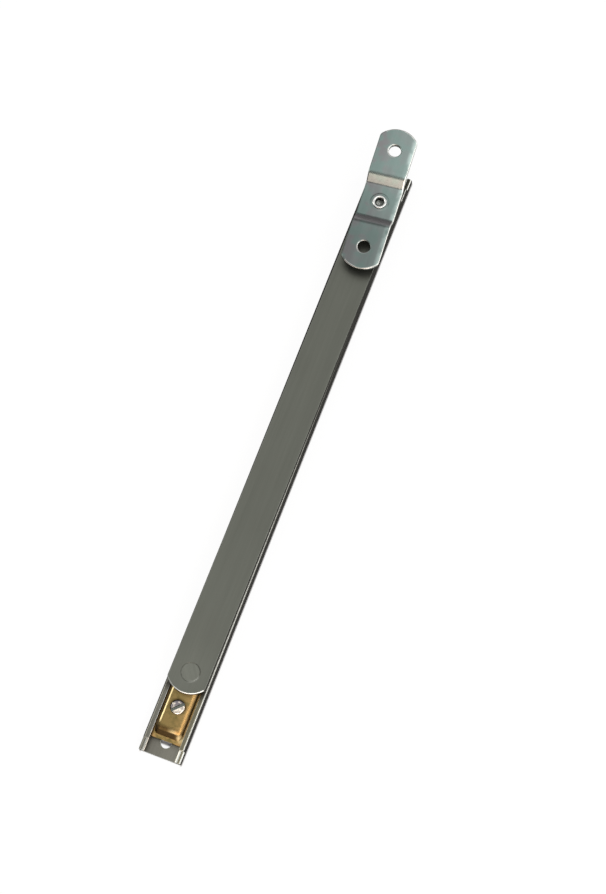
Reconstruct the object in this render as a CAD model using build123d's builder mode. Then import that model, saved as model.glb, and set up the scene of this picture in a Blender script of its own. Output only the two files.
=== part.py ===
from build123d import *
from math import cos, radians, sin, tan
import os

# Sliding friction stay for a side-hung window, in millimetres.
# X runs across the track, Y along it towards the sash bracket, Z up from the track's base.
# The origin is the middle of the track's base.

# Track: a plated strip folded into a channel, its lips turned in over the shoe
track_length = 280.0
track_width = 19.0
track_height = 6.0
track_wall = 1.2
track_bend = 0.9  # radius of the strip's middle line at each fold
lip_width = 2.6
stop_length = 5.4  # lip end that is sheared and bent down to stop the shoe
stop_angle = 32.0
web_hole = 4.6  # clears a No. 8 screw
web_hole_inset = 6.6

# Shoe: a solid brass slider with a flange under the lips and a raised, rounded back
shoe_length = 43.0
shoe_stand = 1.5  # from the near stop, as the stay lies
shoe_proud = 2.0  # above the lips
shoe_corner = 1.0
back_width = 11.2
back_draft = 0.6  # how much further out each side stands at its foot
back_slope = 2.9  # length of the sloping end
foot_ledge = 1.7  # flange left in front of the slope
shoulder = 1.7
screw_inset = 14.7  # from the shoe's front foot
pivot_inset = 29.9  # from the shoe's front foot

# Friction adjuster: a slotted grub screw on a loose pad
screw_diameter = 6.35
screw_proud = 0.25
screw_chamfer = 0.5
slot_width = 1.3
slot_depth = 1.3
slot_turn = 45.0  # degrees from the X axis
pad_thickness = 1.6
pad_chamfer = 0.2

# Arm: a flat bar with bowed ends
arm_width = 17.4
arm_thickness = 2.5
arm_end = 9.2  # from each pivot to the end of the bar
arm_edge = 0.3
pivot_spacing = 225.0
arm_turn = -0.2  # degrees about Z, from the track's line
end_radius = 10.8  # bowed ends of the arm and the bracket
end_corner = 2.5

# Slider rivet: solid, tight in the shoe, its head flush with the arm's top face
slider_rivet_head = 8.2
slider_rivet_shank = 5.0
rivet_cone_angle = 90.0
tail_diameter = 7.6
tail_thickness = 1.2
tail_recess = 0.4  # room around and under the tail
tail_break = 0.3

# Bracket rivet: semi-tubular, rolled over on top of the bracket
bracket_rivet_shank = 4.8
bracket_rivet_head = 9.0
bracket_rivet_head_thickness = 1.2
head_break = 0.4
bracket_rivet_bore = 3.9
bracket_rivet_depth = 3.6
roll_diameter = 6.6
roll_height = 0.75
seat_diameter = 8.2  # dished by the setting tool
seat_depth = 0.2

# Washers
washer_diameter = 9.0
slider_gap = 0.5  # shoe to arm
bracket_gap = 0.4  # arm to bracket

# Sash bracket: a strip stepped up at both ends to meet the sash
bracket_width = 17.2
bracket_thickness = 2.2
bracket_turn = 3.6  # degrees about Z, from the track's line
tab_rise = 4.2
step_middle = 10.3  # from the pivot to the middle of each step
step_run = 4.0
step_bend = 3.0  # radius of the strip's middle line at each bend
step_skew = 2.0  # degrees that the bends lie off square
blank_margin = 1.0  # strip around the outline, before it is trimmed
tab_hole = 5.5  # clears a No. 10 screw
tab_hole_spacing = 47.6
tab_end = 10.6  # from each hole to the end of the strip
tab_hole_break = 0.5
bracket_edge = 0.35

# Running clearances
shoe_lift = 0.1  # shoe above the track's floor
shoe_side_play = 0.35
shoe_lip_play = 0.25
pad_lift = 0.05
turning_play = 0.05  # radial, at both pivots and at the screw
end_play = 0.05  # axial, at both pivots

# Places worked out from the sizes
slot_half = track_width / 2 - lip_width
shoe_foot = track_wall + shoe_lift
flange_top = track_height - track_wall - shoe_lip_play
flange_width = track_width - 2 * (track_wall + shoe_side_play)
shoe_top = track_height + shoe_proud
shoe_front = -track_length / 2 + stop_length + shoe_stand
shoe_middle = shoe_front + shoe_length / 2
screw_y = shoe_front + screw_inset
pivot_y = shoe_front + pivot_inset
pad_base = track_wall + pad_lift
pad_top = pad_base + pad_thickness
arm_base = shoe_top + slider_gap
arm_top = arm_base + arm_thickness
arm_length = pivot_spacing + 2 * arm_end
bracket_base = arm_top + bracket_gap
bracket_top = bracket_base + bracket_thickness
bracket_length = tab_hole_spacing + 2 * tab_end
tab_top = bracket_top + tab_rise
tail_top = shoe_foot + tail_recess + tail_thickness

# The arm turns on the shoe, and the bracket on the arm's far end
arm_place = Location((0, pivot_y, 0), (0, 0, arm_turn))
bracket_place = arm_place * Location((0, pivot_spacing, 0), (0, 0, bracket_turn - arm_turn))


def channel_section(lip_angle):
    """The channel's section at the origin, its lips bent down by an angle."""
    side = (track_width - track_wall) / 2
    lip_reach = side - slot_half
    lip_tip_x = side - lip_reach * cos(radians(lip_angle))
    lip_tip_z = track_height - track_wall / 2 - lip_reach * sin(radians(lip_angle))
    with BuildSketch(Plane.XZ) as section:
        with BuildLine():
            FilletPolyline(
                (-lip_tip_x, lip_tip_z),
                (-side, track_height - track_wall / 2),
                (-side, track_wall / 2),
                (side, track_wall / 2),
                (side, track_height - track_wall / 2),
                (lip_tip_x, lip_tip_z),
                radius=track_bend,
            )
        trace(line_width=track_wall)
    return section.sketch


def bowed_strip(length, width):
    """A flat strip's outline along Y, each end bowed and its corners rounded."""
    with BuildSketch() as outline:
        Rectangle(width, length)
        for end in (1, -1):
            with BuildSketch(mode=Mode.PRIVATE) as bow:
                with Locations((0, end * (length / 2 - end_radius))):
                    Circle(end_radius)
                with Locations((0, -end * end_radius)):
                    Rectangle(width, length)
            add(bow.sketch, mode=Mode.INTERSECT)
        fillet(outline.vertices(), end_corner)
    return outline.sketch


# Track channel
with BuildPart() as track_channel:
    extrude(channel_section(0), amount=track_length / 2 - stop_length, both=True)
    stop_piece = extrude(channel_section(stop_angle), amount=stop_length / 2, both=True, mode=Mode.PRIVATE)
    for end in (1, -1):
        with Locations((0, end * (track_length - stop_length) / 2, 0)):
            add(stop_piece)
        with Locations((0, end * (track_length / 2 - web_hole_inset), track_wall)):
            Hole(web_hole / 2, depth=track_wall)

# Slider shoe
with BuildPart() as slider_shoe:
    with BuildSketch(Plane.XY.offset(shoe_foot)):
        with Locations((0, shoe_middle)):
            RectangleRounded(flange_width, shoe_length, shoe_corner)
    extrude(amount=flange_top - shoe_foot)
    back_length = shoe_length - 2 * (foot_ledge + back_slope)
    with BuildSketch(Plane.XY.offset(flange_top)) as back_foot:
        with Locations((0, shoe_middle)):
            Rectangle(back_width + 2 * back_draft, back_length + 2 * back_slope)
    with BuildSketch(Plane.XY.offset(shoe_top)) as back_face:
        with Locations((0, shoe_middle)):
            Rectangle(back_width, back_length)
    loft([back_foot.sketch, back_face.sketch])
    ridges = slider_shoe.edges().filter_by(lambda e: abs(e.tangent_at(0).Z) > 0.3).group_by(Axis.Z)[-1]
    fillet(ridges + slider_shoe.edges().group_by(Axis.Z)[-1], shoulder)
    # bore for the grub screw and its pad
    with Locations((0, screw_y, shoe_top)):
        Hole(screw_diameter / 2 + turning_play)
    # bore for the rivet, opened out below for its tail
    with Locations((0, pivot_y, shoe_top)):
        Hole(slider_rivet_shank / 2)
    with Locations((0, pivot_y, tail_top)):
        Hole(tail_diameter / 2 + tail_recess, depth=tail_top)

# Friction pad
with BuildPart() as friction_pad:
    with BuildSketch(Plane.XY.offset(pad_base)):
        with Locations((0, screw_y)):
            Circle(screw_diameter / 2)
    extrude(amount=pad_thickness)
    chamfer(friction_pad.edges().group_by(Axis.Z)[0], pad_chamfer)

# Adjusting screw
with BuildPart() as adjusting_screw:
    with BuildSketch(Plane.XY.offset(pad_top)):
        with Locations((0, screw_y)):
            Circle(screw_diameter / 2)
    extrude(amount=shoe_top + screw_proud - pad_top)
    chamfer(adjusting_screw.edges().group_by(Axis.Z)[-1], screw_chamfer)
    chamfer(adjusting_screw.edges().group_by(Axis.Z)[0], screw_chamfer)
    with BuildSketch(Plane.XY.offset(shoe_top + screw_proud)):
        with Locations(Location((0, screw_y), slot_turn)):
            Rectangle(2 * screw_diameter, slot_width)
    extrude(amount=-slot_depth, mode=Mode.SUBTRACT)

# Arm
with BuildPart() as arm:
    with BuildSketch(Plane(arm_place).offset(arm_base)):
        with Locations((0, pivot_spacing / 2)):
            add(bowed_strip(arm_length, arm_width))
    extrude(amount=arm_thickness)
    chamfer(arm.edges().group_by(Axis.Z)[-1], arm_edge)
    chamfer(arm.edges().group_by(Axis.Z)[0], arm_edge)
    with Locations(arm_place * Location((0, 0, arm_top))):
        arm_bore = slider_rivet_shank / 2 + turning_play
        CounterSinkHole(arm_bore, slider_rivet_head / 2, counter_sink_angle=rivet_cone_angle)
    with Locations(bracket_place * Location((0, 0, arm_top))):
        Hole(bracket_rivet_shank / 2 + turning_play)

# Slider rivet
with BuildPart() as slider_rivet:
    tail_base = tail_top - tail_thickness
    head_radius = slider_rivet_head / 2 - turning_play
    cone_depth = (head_radius - slider_rivet_shank / 2) / tan(radians(rivet_cone_angle / 2))
    with BuildSketch(Plane(arm_place) * Plane.XZ):
        with BuildLine():
            Polyline(
                (0, tail_base),
                (tail_diameter / 2, tail_base),
                (tail_diameter / 2, tail_top),
                (slider_rivet_shank / 2, tail_top),
                (slider_rivet_shank / 2, arm_top - cone_depth),
                (head_radius, arm_top),
                (0, arm_top),
                close=True,
            )
        make_face()
    revolve(axis=Axis((0, pivot_y, 0), (0, 0, 1)))
    chamfer(slider_rivet.edges().group_by(Axis.Z)[0], tail_break)

# Slider washer
with BuildPart() as slider_washer:
    with BuildSketch(Plane(arm_place).offset(shoe_top + end_play)):
        Circle(washer_diameter / 2)
        Circle(slider_rivet_shank / 2 + turning_play, mode=Mode.SUBTRACT)
    extrude(amount=slider_gap - end_play)

# Bracket rivet
with BuildPart() as bracket_rivet:
    head_top = arm_base - end_play
    head_base = head_top - bracket_rivet_head_thickness
    roll_base = bracket_top - seat_depth
    bore_base = roll_base + roll_height - bracket_rivet_depth
    roll_middle = (roll_diameter + bracket_rivet_bore) / 4
    drill_point = bracket_rivet_bore / 2 * tan(radians(30))
    with BuildSketch(Plane(bracket_place) * Plane.XZ):
        with BuildLine():
            Polyline(
                (bracket_rivet_bore / 2, roll_base),
                (bracket_rivet_bore / 2, bore_base),
                (0, bore_base - drill_point),
                (0, head_base),
                (bracket_rivet_head / 2, head_base),
                (bracket_rivet_head / 2, head_top),
                (bracket_rivet_shank / 2, head_top),
                (bracket_rivet_shank / 2, roll_base),
                (roll_diameter / 2, roll_base),
            )
            ThreePointArc(
                (roll_diameter / 2, roll_base),
                (roll_middle, roll_base + roll_height),
                (bracket_rivet_bore / 2, roll_base),
            )
        make_face()
    revolve(axis=Axis(bracket_place.position, (0, 0, 1)))
    chamfer(bracket_rivet.edges().group_by(Axis.Z)[0], head_break)

# Bracket washer
with BuildPart() as bracket_washer:
    with BuildSketch(Plane(bracket_place).offset(arm_top + end_play)):
        Circle(washer_diameter / 2)
        Circle(bracket_rivet_shank / 2 + turning_play, mode=Mode.SUBTRACT)
    extrude(amount=bracket_gap - end_play)

# Sash bracket
with BuildPart() as sash_bracket:
    strip_middle = bracket_base + bracket_thickness / 2
    blank_end = bracket_length / 2 + blank_margin
    with BuildSketch(Plane(bracket_place * Location((0, 0, 0), (0, 0, step_skew))) * Plane.YZ):
        with BuildLine():
            FilletPolyline(
                (-blank_end, strip_middle + tab_rise),
                (-step_middle - step_run / 2, strip_middle + tab_rise),
                (-step_middle + step_run / 2, strip_middle),
                (step_middle - step_run / 2, strip_middle),
                (step_middle + step_run / 2, strip_middle + tab_rise),
                (blank_end, strip_middle + tab_rise),
                radius=step_bend,
            )
        trace(line_width=bracket_thickness)
    extrude(amount=bracket_width / 2 + blank_margin, both=True)
    with BuildSketch(Plane(bracket_place).offset(bracket_base)):
        add(bowed_strip(bracket_length, bracket_width))
    extrude(amount=tab_top - bracket_base, mode=Mode.INTERSECT)
    rim = sash_bracket.faces().filter_by(lambda f: abs(f.normal_at().Z) < 0.01).edges()
    chamfer(rim.filter_by(Axis.Z, reverse=True), bracket_edge)
    # dish pressed by the rivet's setting tool, and the rivet's hole
    with Locations(bracket_place * Location((0, 0, bracket_top))):
        Hole(seat_diameter / 2, depth=seat_depth)
        Hole(bracket_rivet_shank / 2)
    for end in (1, -1):
        with Locations(bracket_place * Location((0, end * tab_hole_spacing / 2, tab_top))):
            Hole(tab_hole / 2)
    circles = sash_bracket.edges().filter_by(GeomType.CIRCLE)
    chamfer(circles.filter_by(lambda e: abs(e.radius - tab_hole / 2) < 0.01), tab_hole_break)

pieces = {
    "track_channel": track_channel,
    "slider_shoe": slider_shoe,
    "adjusting_screw": adjusting_screw,
    "friction_pad": friction_pad,
    "arm": arm,
    "slider_rivet": slider_rivet,
    "slider_washer": slider_washer,
    "sash_bracket": sash_bracket,
    "bracket_rivet": bracket_rivet,
    "bracket_washer": bracket_washer,
}
os.makedirs("parts", exist_ok=True)
for name, piece in pieces.items():
    piece.part.label = name
    export_step(piece.part, f"parts/{name}.step")
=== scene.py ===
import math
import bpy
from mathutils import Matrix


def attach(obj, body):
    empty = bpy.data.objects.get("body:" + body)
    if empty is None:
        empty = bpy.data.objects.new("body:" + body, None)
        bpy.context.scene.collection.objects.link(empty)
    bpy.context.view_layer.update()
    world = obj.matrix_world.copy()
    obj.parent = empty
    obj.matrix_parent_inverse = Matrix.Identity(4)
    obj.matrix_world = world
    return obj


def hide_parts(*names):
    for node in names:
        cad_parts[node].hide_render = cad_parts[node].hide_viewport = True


bl_info = {
    "name": "Friction Stay",
    "version": (1, 0, 0),
    "blender": (4, 5, 0),
    "location": "3D View > Sidebar > Stay",
    "description": "Models a sliding window friction stay over its packed frame",
    "category": "Add Mesh",
}

import bmesh
import bpy
from mathutils import Matrix, Vector

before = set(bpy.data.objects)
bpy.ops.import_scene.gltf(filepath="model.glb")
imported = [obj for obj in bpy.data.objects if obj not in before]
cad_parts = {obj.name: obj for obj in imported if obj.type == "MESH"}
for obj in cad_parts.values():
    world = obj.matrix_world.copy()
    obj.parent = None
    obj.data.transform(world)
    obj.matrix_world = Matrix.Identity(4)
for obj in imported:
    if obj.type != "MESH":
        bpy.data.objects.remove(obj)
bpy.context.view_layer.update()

NEAR = 0.00001  # how close a point lies to the place where it is picked, in metres
MERGE = 0.000002  # points closer than this become one
PROUD = 0.001  # how far a drill or cutter stands out of the face it cuts
PLAY = 0.00005  # play all round in a bored hole
SPARE = 0.003  # strip left round the bracket's outline, and a drill's reach from its middle
SHARP = math.radians(50)  # an edge sharper than this is rounded
SMOOTH = math.radians(32)  # faces that meet at less than this are shaded as one
HOLE_SIDES = 64  # sides of a drilled hole
TURNING_STEPS = 72  # steps round a turned piece


def length(label, note, mm):
    """A size property, with its default in millimetres."""
    return bpy.props.FloatProperty(
        name=label, description=note, default=mm / 1000, unit="LENGTH", precision=5
    )


def turn(label, note, degrees):
    """An angle property, with its default in degrees."""
    return bpy.props.FloatProperty(
        name=label, description=note, default=math.radians(degrees), subtype="ANGLE"
    )


def tint(label, note, colour):
    """A colour property in linear values."""
    return bpy.props.FloatVectorProperty(
        name=label, description=note, default=colour, subtype="COLOR", size=3, min=0, max=1
    )


class StaySizes(bpy.types.PropertyGroup):
    """Sizes of the stay. X runs across the track, Y along it, Z up from its base."""

    track_length: length("Track length", "Length of the channel", 280)
    track_width: length("Track width", "Width over the channel's walls", 19)
    track_height: length("Track height", "Height over the lips", 6)
    track_wall: length("Track wall", "Thickness of the channel's strip", 1.2)
    track_bend: length("Track bend", "Radius of the strip's middle line at a fold", 0.9)
    track_edge: length("Track edge", "Rounding of the strip's sheared rims", 0.12)
    lip_width: length("Lip width", "From the outside of a wall to the edge of its lip", 2.6)
    stop_length: length("Stop length", "Lip end that is sheared and bent down", 5.4)
    stop_angle: turn("Stop angle", "How far the stops are bent down", 32)
    web_hole: length("Web hole", "Screw hole in the track's floor", 4.6)
    web_hole_inset: length("Web hole inset", "From the end of the track", 6.6)

    shoe_length: length("Shoe length", "Length of the brass shoe", 43)
    shoe_front: length("Shoe front", "Where the shoe's front foot lies along the track", -133.1)
    shoe_foot: length("Shoe foot", "Height of the shoe's underside", 1.3)
    shoe_top: length("Shoe top", "Height of the shoe's back", 8)
    flange_width: length("Flange width", "Width of the flange under the lips", 15.9)
    flange_top: length("Flange top", "Height of the flange's top face", 4.55)
    back_width: length("Back width", "Width of the raised back at its top", 11.2)
    back_draft: length("Back draft", "How much further out each side stands at its foot", 0.6)
    back_slope: length("Back slope", "Length of each sloping end", 2.9)
    foot_ledge: length("Foot ledge", "Flange left in front of the slope", 1.7)
    shoulder: length("Shoulder", "Radius of the back's rounded edges", 1.7)
    shoe_corner: length("Shoe corner", "Radius of the flange's corners", 1)

    screw_y: length("Screw place", "Where the adjusting screw lies along the track", -118.4)
    screw_diameter: length("Screw diameter", "Outer diameter of its thread", 6.35)
    screw_base: length("Screw base", "Height of the screw's lower end", 2.85)
    screw_top: length("Screw top", "Height of the screw's upper end", 8.25)
    slot_width: length("Slot width", "Width of the driver slot", 1.3)
    slot_depth: length("Slot depth", "Depth of the driver slot", 1.3)
    slot_turn: turn("Slot turn", "Turn of the slot from the X axis", 45)

    pivot_y: length("Shoe pivot", "Where the arm's pivot lies along the track", -103.2)
    pivot_spacing: length("Pivot spacing", "From one rivet to the other", 225)
    arm_width: length("Arm width", "Width of the bar", 17.4)
    arm_base: length("Arm base", "Height of the arm's underside", 8.5)
    arm_thickness: length("Arm thickness", "Thickness of the bar", 2.5)
    arm_end: length("Arm end", "From a pivot to the end of the bar", 9.2)
    arm_turn: turn("Arm turn", "Turn of the arm from the track's line", -0.2)
    end_radius: length("End radius", "Radius of the bowed ends", 10.8)
    end_corner: length("End corner", "Radius where an end meets a side", 2.5)
    arm_edge: length("Arm edge", "Rounding of the arm's rims", 0.45)

    rivet_head: length("Flush head", "Diameter of the flush rivet's head", 8.1)
    rivet_shank: length("Flush shank", "Diameter of the flush rivet's shank", 5)
    rivet_tail: length("Rivet tail", "Diameter of the flush rivet's tail", 7.6)
    tail_base: length("Tail base", "Height of the tail's underside", 1.7)
    tail_top: length("Tail top", "Height of the tail's upper face", 2.9)

    bracket_width: length("Bracket width", "Width of the sash bracket", 17.2)
    bracket_base: length("Bracket base", "Height of its underside at the pivot", 11.4)
    bracket_thickness: length("Bracket thickness", "Thickness of its strip", 2.2)
    bracket_turn: turn("Bracket turn", "Turn of the bracket from the track's line", 3.6)
    tab_rise: length("Tab rise", "Height of each step", 4.2)
    step_middle: length("Step middle", "From the pivot to the middle of a step", 10.3)
    step_run: length("Step run", "Length of a step along the bracket", 4)
    step_bend: length("Step bend", "Radius of the strip's middle line at a bend", 3)
    step_skew: turn("Step skew", "How far the bends lie off square", 2)
    tab_hole: length("Tab hole", "Diameter of a sash screw hole", 5.5)
    tab_spacing: length("Tab hole spacing", "From one sash screw hole to the other", 47.6)
    tab_end: length("Tab end", "From a hole to the end of the strip", 10.6)
    bracket_edge: length("Bracket edge", "Rounding of the bracket's rims", 0.65)

    roll_diameter: length("Roll diameter", "Outer diameter of the rolled rivet end", 6.6)
    roll_bore: length("Roll bore", "Bore of the hollow rivet", 3.9)
    roll_height: length("Roll height", "How far the roll stands up from its seat", 0.75)
    roll_depth: length("Roll depth", "Depth of the hollow rivet's bore", 3.6)
    roll_shank: length("Roll shank", "Diameter of the hollow rivet's shank", 4.8)
    roll_head: length("Roll head", "Diameter of the hollow rivet's head", 9)
    roll_head_thickness: length("Roll head thickness", "Thickness of the hollow rivet's head", 1.2)
    seat_diameter: length("Seat diameter", "Dish that the setting tool pressed", 8.2)
    seat_depth: length("Seat depth", "Depth of the dish", 0.2)


class StayColours(bpy.types.PropertyGroup):
    """Colours of the stay's finishes, in linear values."""

    track: tint("Track", "Satin zinc on the track's lips and floor", (0.165, 0.16, 0.135))
    # painted shade: near black for the track's outer walls and the long sides of the arm and the
    # bracket
    track_wall: tint("Track walls", "Darker zinc on the track's outer walls", (0.03, 0.03, 0.028))
    sheared: tint("Sheared edge", "Bright metal where the strip was cut", (0.75, 0.68, 0.58))
    arm: tint("Arm", "Dull zinc on the arm", (0.112, 0.116, 0.099))
    bracket: tint("Bracket", "Bluish zinc on the bracket", (0.19, 0.225, 0.215))
    # painted light and shade on the bracket's step that faces away
    painted_step_shading: tint("Dull step", "Pinkish grey of the step that faces away", (0.15, 0.138, 0.144))
    teal: tint("Teal", "Greenish patches of the bracket's plating", (0.165, 0.235, 0.215))
    blush: tint("Blush", "Pinkish patches of the bracket's plating", (0.2, 0.187, 0.192))
    # painted highlight, greenish, along the bracket's right rim
    right_rim_highlight: tint("Rubbed zinc", "Greenish right rim of the bracket", (0.46, 0.56, 0.53))
    # worn rims, and painted highlights and glints
    burnished: tint("Burnished rim", "Zinc rubbed bright along the rims", (0.7, 0.71, 0.67))
    # dirt, and painted shade in seams, down the rivet's bore and under the arm
    grime: tint("Grime", "Dark dirt in seams and bores", (0.035, 0.033, 0.028))
    brass: tint("Brass", "Olive gold of the shoe's back", (0.205, 0.145, 0.055))
    # orange brass: random patches, and painted warm light towards the shoe's right
    orange_brass: tint("Worn brass", "Orange gold of the shoe's right shoulder", (0.36, 0.225, 0.09))
    # painted highlight on the shoe's right shoulder
    gilt: tint("Gilt", "Bright orange gold where the right shoulder is rubbed", (0.45, 0.27, 0.096))
    stain: tint("Stain", "Greenish brown spots on the shoe's back", (0.115, 0.095, 0.035))
    foot_brass: tint("Foot brass", "Dull brown of the shoe's feet", (0.26, 0.18, 0.066))
    # the shoe's rubbed edges, painted bright as highlights, and a painted flare
    rubbed_and_highlit_brass: tint("Bright brass", "Pale gold of the shoe's rubbed edges", (0.8, 0.66, 0.36))
    # painted shade, with some tarnish: the shoe's steep places, the flange beside its back and
    # round the screw
    tarnish: tint("Tarnish", "Brown tarnish on the shoe's steep places", (0.04, 0.024, 0.009))
    # painted light and shade: the bright cream and the dark halves of the screw's head
    screw: tint("Screw", "Bright zinc on the screw", (0.8, 0.72, 0.6))
    scuffed: tint("Scuffed screw", "Plating on the screw's scuffed half", (0.17, 0.155, 0.165))
    # painted shade: the dark grey-green of the screw's slot, also the floor of the rivet's bore
    slot: tint("Slot", "Greenish grey dirt in the driver slot", (0.13, 0.145, 0.125))
    rivet: tint("Hollow rivet", "Bright metal of the rolled rivet", (0.6, 0.61, 0.59))
    nylon: tint("Nylon", "Washers and pad", (0.62, 0.6, 0.53))


def stay(context):
    """The stay's sizes and its colours."""
    return context.scene.stay_sizes, context.scene.stay_colours


# Modelling by hand: a point is drawn into an outline, an outline into a face, a face into a solid

def clear_selection():
    """Deselects every object."""
    bpy.ops.object.select_all(action="DESELECT")


def choose(piece):
    """Selects a piece alone and makes it the active one."""
    clear_selection()
    piece.select_set(True)
    bpy.context.view_layer.objects.active = piece


def pick_all():
    """Selects all of an edited mesh."""
    bpy.ops.mesh.select_all(action="SELECT")


def apply_place():
    """Puts the place, turn and size of the selected piece into its mesh."""
    bpy.ops.object.transform_apply(location=True, rotation=True, scale=True)


def start_block(name, middle, size, angle=0):
    """A new block, given by its middle, its size and its turn about Z."""
    clear_selection()
    bpy.ops.mesh.primitive_cube_add(size=1, location=middle)
    piece = bpy.context.object
    piece.name = piece.data.name = name
    piece.scale = size
    piece.rotation_euler = (0, 0, angle)
    apply_place()
    return piece


def start_point(name, place):
    """A new mesh with one vertex, left in edit mode with the vertex selected."""
    clear_selection()
    bpy.ops.mesh.primitive_plane_add(size=0.001, location=place)
    piece = bpy.context.object
    piece.name = piece.data.name = name
    apply_place()
    bpy.ops.object.mode_set(mode="EDIT")
    bpy.ops.mesh.select_mode(type="VERT")
    pick_all()
    bpy.ops.mesh.merge(type="CENTER")
    pick_all()
    return piece


def draw(*step):
    """Extrudes what is selected by a step."""
    bpy.ops.mesh.extrude_region_move(TRANSFORM_OT_translate={"value": step})


def swing(centre, axis, angle, steps):
    """Spins what is selected about an axis, by the right-hand rule."""
    bpy.ops.mesh.spin(steps=steps, angle=-angle, center=centre, axis=axis)


def pick(piece, test, kind="VERT"):
    """Selects the vertices, edges or faces of an edited mesh that pass a test."""
    bpy.ops.mesh.select_all(action="DESELECT")
    bpy.ops.mesh.select_mode(type=kind)
    shape = bmesh.from_edit_mesh(piece.data)
    elements = {"VERT": shape.verts, "EDGE": shape.edges, "FACE": shape.faces}[kind]
    chosen = [element for element in elements if test(element)]
    if not chosen:
        raise RuntimeError(f"nothing to select on {piece.name}")
    for element in chosen:
        element.select_set(True)
    shape.select_flush_mode()
    bmesh.update_edit_mesh(piece.data)


def close_up():
    """Merges doubles, turns the faces outwards and leaves edit mode."""
    pick_all()
    bpy.ops.mesh.remove_doubles(threshold=MERGE)
    bpy.ops.mesh.normals_make_consistent(inside=False)
    bpy.ops.object.mode_set(mode="OBJECT")


def modify(piece, kind, **settings):
    """Adds a modifier and applies it."""
    choose(piece)
    modifier = piece.modifiers.new(kind.title(), kind)
    for key, value in settings.items():
        setattr(modifier, key, value)
    bpy.ops.object.modifier_apply(modifier=modifier.name)


def cut(piece, tool, operation="DIFFERENCE"):
    """Cuts a piece with a tool shape, and removes the tool."""
    modify(piece, "BOOLEAN", object=tool, operation=operation, solver="EXACT")
    bpy.data.objects.remove(tool)


def drill(piece, place, radius, depth):
    """Cuts a round hole down from a place."""
    clear_selection()
    middle = (place[0], place[1], place[2] - depth / 2)
    bpy.ops.mesh.primitive_cylinder_add(
        vertices=HOLE_SIDES, radius=radius, depth=depth, location=middle
    )
    apply_place()
    cut(piece, bpy.context.object)


def round_rims(piece, width, steps, share=None):
    """Rounds a piece's sharp rims and marks how much each new face is worn and painted bright."""
    mesh = piece.data
    mesh.materials.append(None)
    mesh.materials.append(None)
    modify(
        piece, "BEVEL", width=width, segments=steps, limit_method="ANGLE", angle_limit=SHARP,
        material=1, use_clamp_overlap=False,
    )
    rim = mesh.attributes.new("rim", "FLOAT", "CORNER")
    for face in mesh.polygons:
        if face.material_index:
            wear_and_sheen = share(face.center) if share else 1
            for corner in face.loop_indices:
                rim.data[corner].value = wear_and_sheen
    mesh.materials.clear()


def bowed_face(name, half_length, half_width, radius, corner, z):
    """A flat face along Y with bowed ends and rounded corners, in edit mode."""
    reach = radius - corner
    across = half_width - corner
    along = math.sqrt(reach * reach - across * across)
    lean = math.atan2(along, across)
    bow = half_length - radius
    piece = start_point(name, (half_width, bow + along, z))
    up = (0, 0, 1)
    for end in (1, -1):
        swing((end * across, end * (bow + along), z), up, lean, 6)
        swing((0, end * bow, z), up, math.pi - 2 * lean, 20)
        swing((-end * across, end * (bow + along), z), up, lean, 6)
        draw(0, -end * 2 * (bow + along), 0)
    pick_all()
    bpy.ops.mesh.remove_doubles(threshold=MERGE)
    pick_all()
    bpy.ops.mesh.edge_face_add()
    return piece


def lathe(name, profile, centre):
    """A turned piece: the profile, in radius and height, spun about its own axis."""
    last = profile[0]
    piece = start_point(name, (centre[0] + last[0], centre[1], last[1]))
    for point in profile[1:]:
        draw(point[0] - last[0], 0, point[1] - last[1])
        last = point
    pick_all()
    swing((centre[0], centre[1], 0), (0, 0, 1), 2 * math.pi, TURNING_STEPS)
    close_up()
    return piece


def seat_piece(piece, place, angle):
    """Moves a piece that was modelled about its pivot to its place, and applies it."""
    choose(piece)
    piece.location = place
    piece.rotation_euler = (0, 0, angle)
    apply_place()


def finish_piece(piece, body, node, material):
    """Smooths a finished piece, gives it its material and hands it to the frame."""
    choose(piece)
    bpy.ops.object.shade_smooth_by_angle(angle=SMOOTH)
    modify(piece, "WEIGHTED_NORMAL", mode="FACE_AREA", weight=100, keep_sharp=True)
    piece.data.materials.clear()
    piece.data.materials.append(material)
    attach(piece, body)
    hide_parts(node)


def far_pivot(sizes):
    """Where the arm's far pivot lies."""
    return (
        -sizes.pivot_spacing * math.sin(sizes.arm_turn),
        sizes.pivot_y + sizes.pivot_spacing * math.cos(sizes.arm_turn),
        0,
    )


# Finishes: a mask runs from 0 to 1 over a surface, and lays a colour over what is below it

def tree_of(*values):
    """The node tree of the first socket among some values."""
    return next(value.id_data for value in values if isinstance(value, bpy.types.NodeSocket))


def feed(made, inputs):
    """Links sockets to a node's inputs, or sets the inputs where the values are plain."""
    for key, value in inputs.items():
        if isinstance(value, bpy.types.NodeSocket):
            made.id_data.links.new(value, made.inputs[key])
        else:
            made.inputs[key].default_value = value


def node(tree, kind, inputs=None, **settings):
    """Adds a shader node, sets it and feeds it."""
    made = tree.nodes.new(kind)
    for key, value in settings.items():
        setattr(made, key, value)
    feed(made, inputs or {})
    return made


def maths(operation, first, second=0.0, clamp=False):
    """A maths node's output."""
    made = node(tree_of(first, second), "ShaderNodeMath", operation=operation, use_clamp=clamp)
    feed(made, {0: first, 1: second})
    return made.outputs[0]


def folded(operation, first, rest):
    """One maths operation on several masks, from the first to the last."""
    for mask in rest:
        first = maths(operation, first, mask)
    return first


def times(first, *rest):
    """Where all masks meet."""
    return folded("MULTIPLY", first, rest)


def either(first, *rest):
    """The strongest of some masks."""
    return folded("MAXIMUM", first, rest)


def outside_of(mask):
    """What a mask leaves out."""
    return maths("SUBTRACT", 1.0, mask)


def unsigned(value):
    """A value without its sign."""
    return maths("ABSOLUTE", value)


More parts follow.
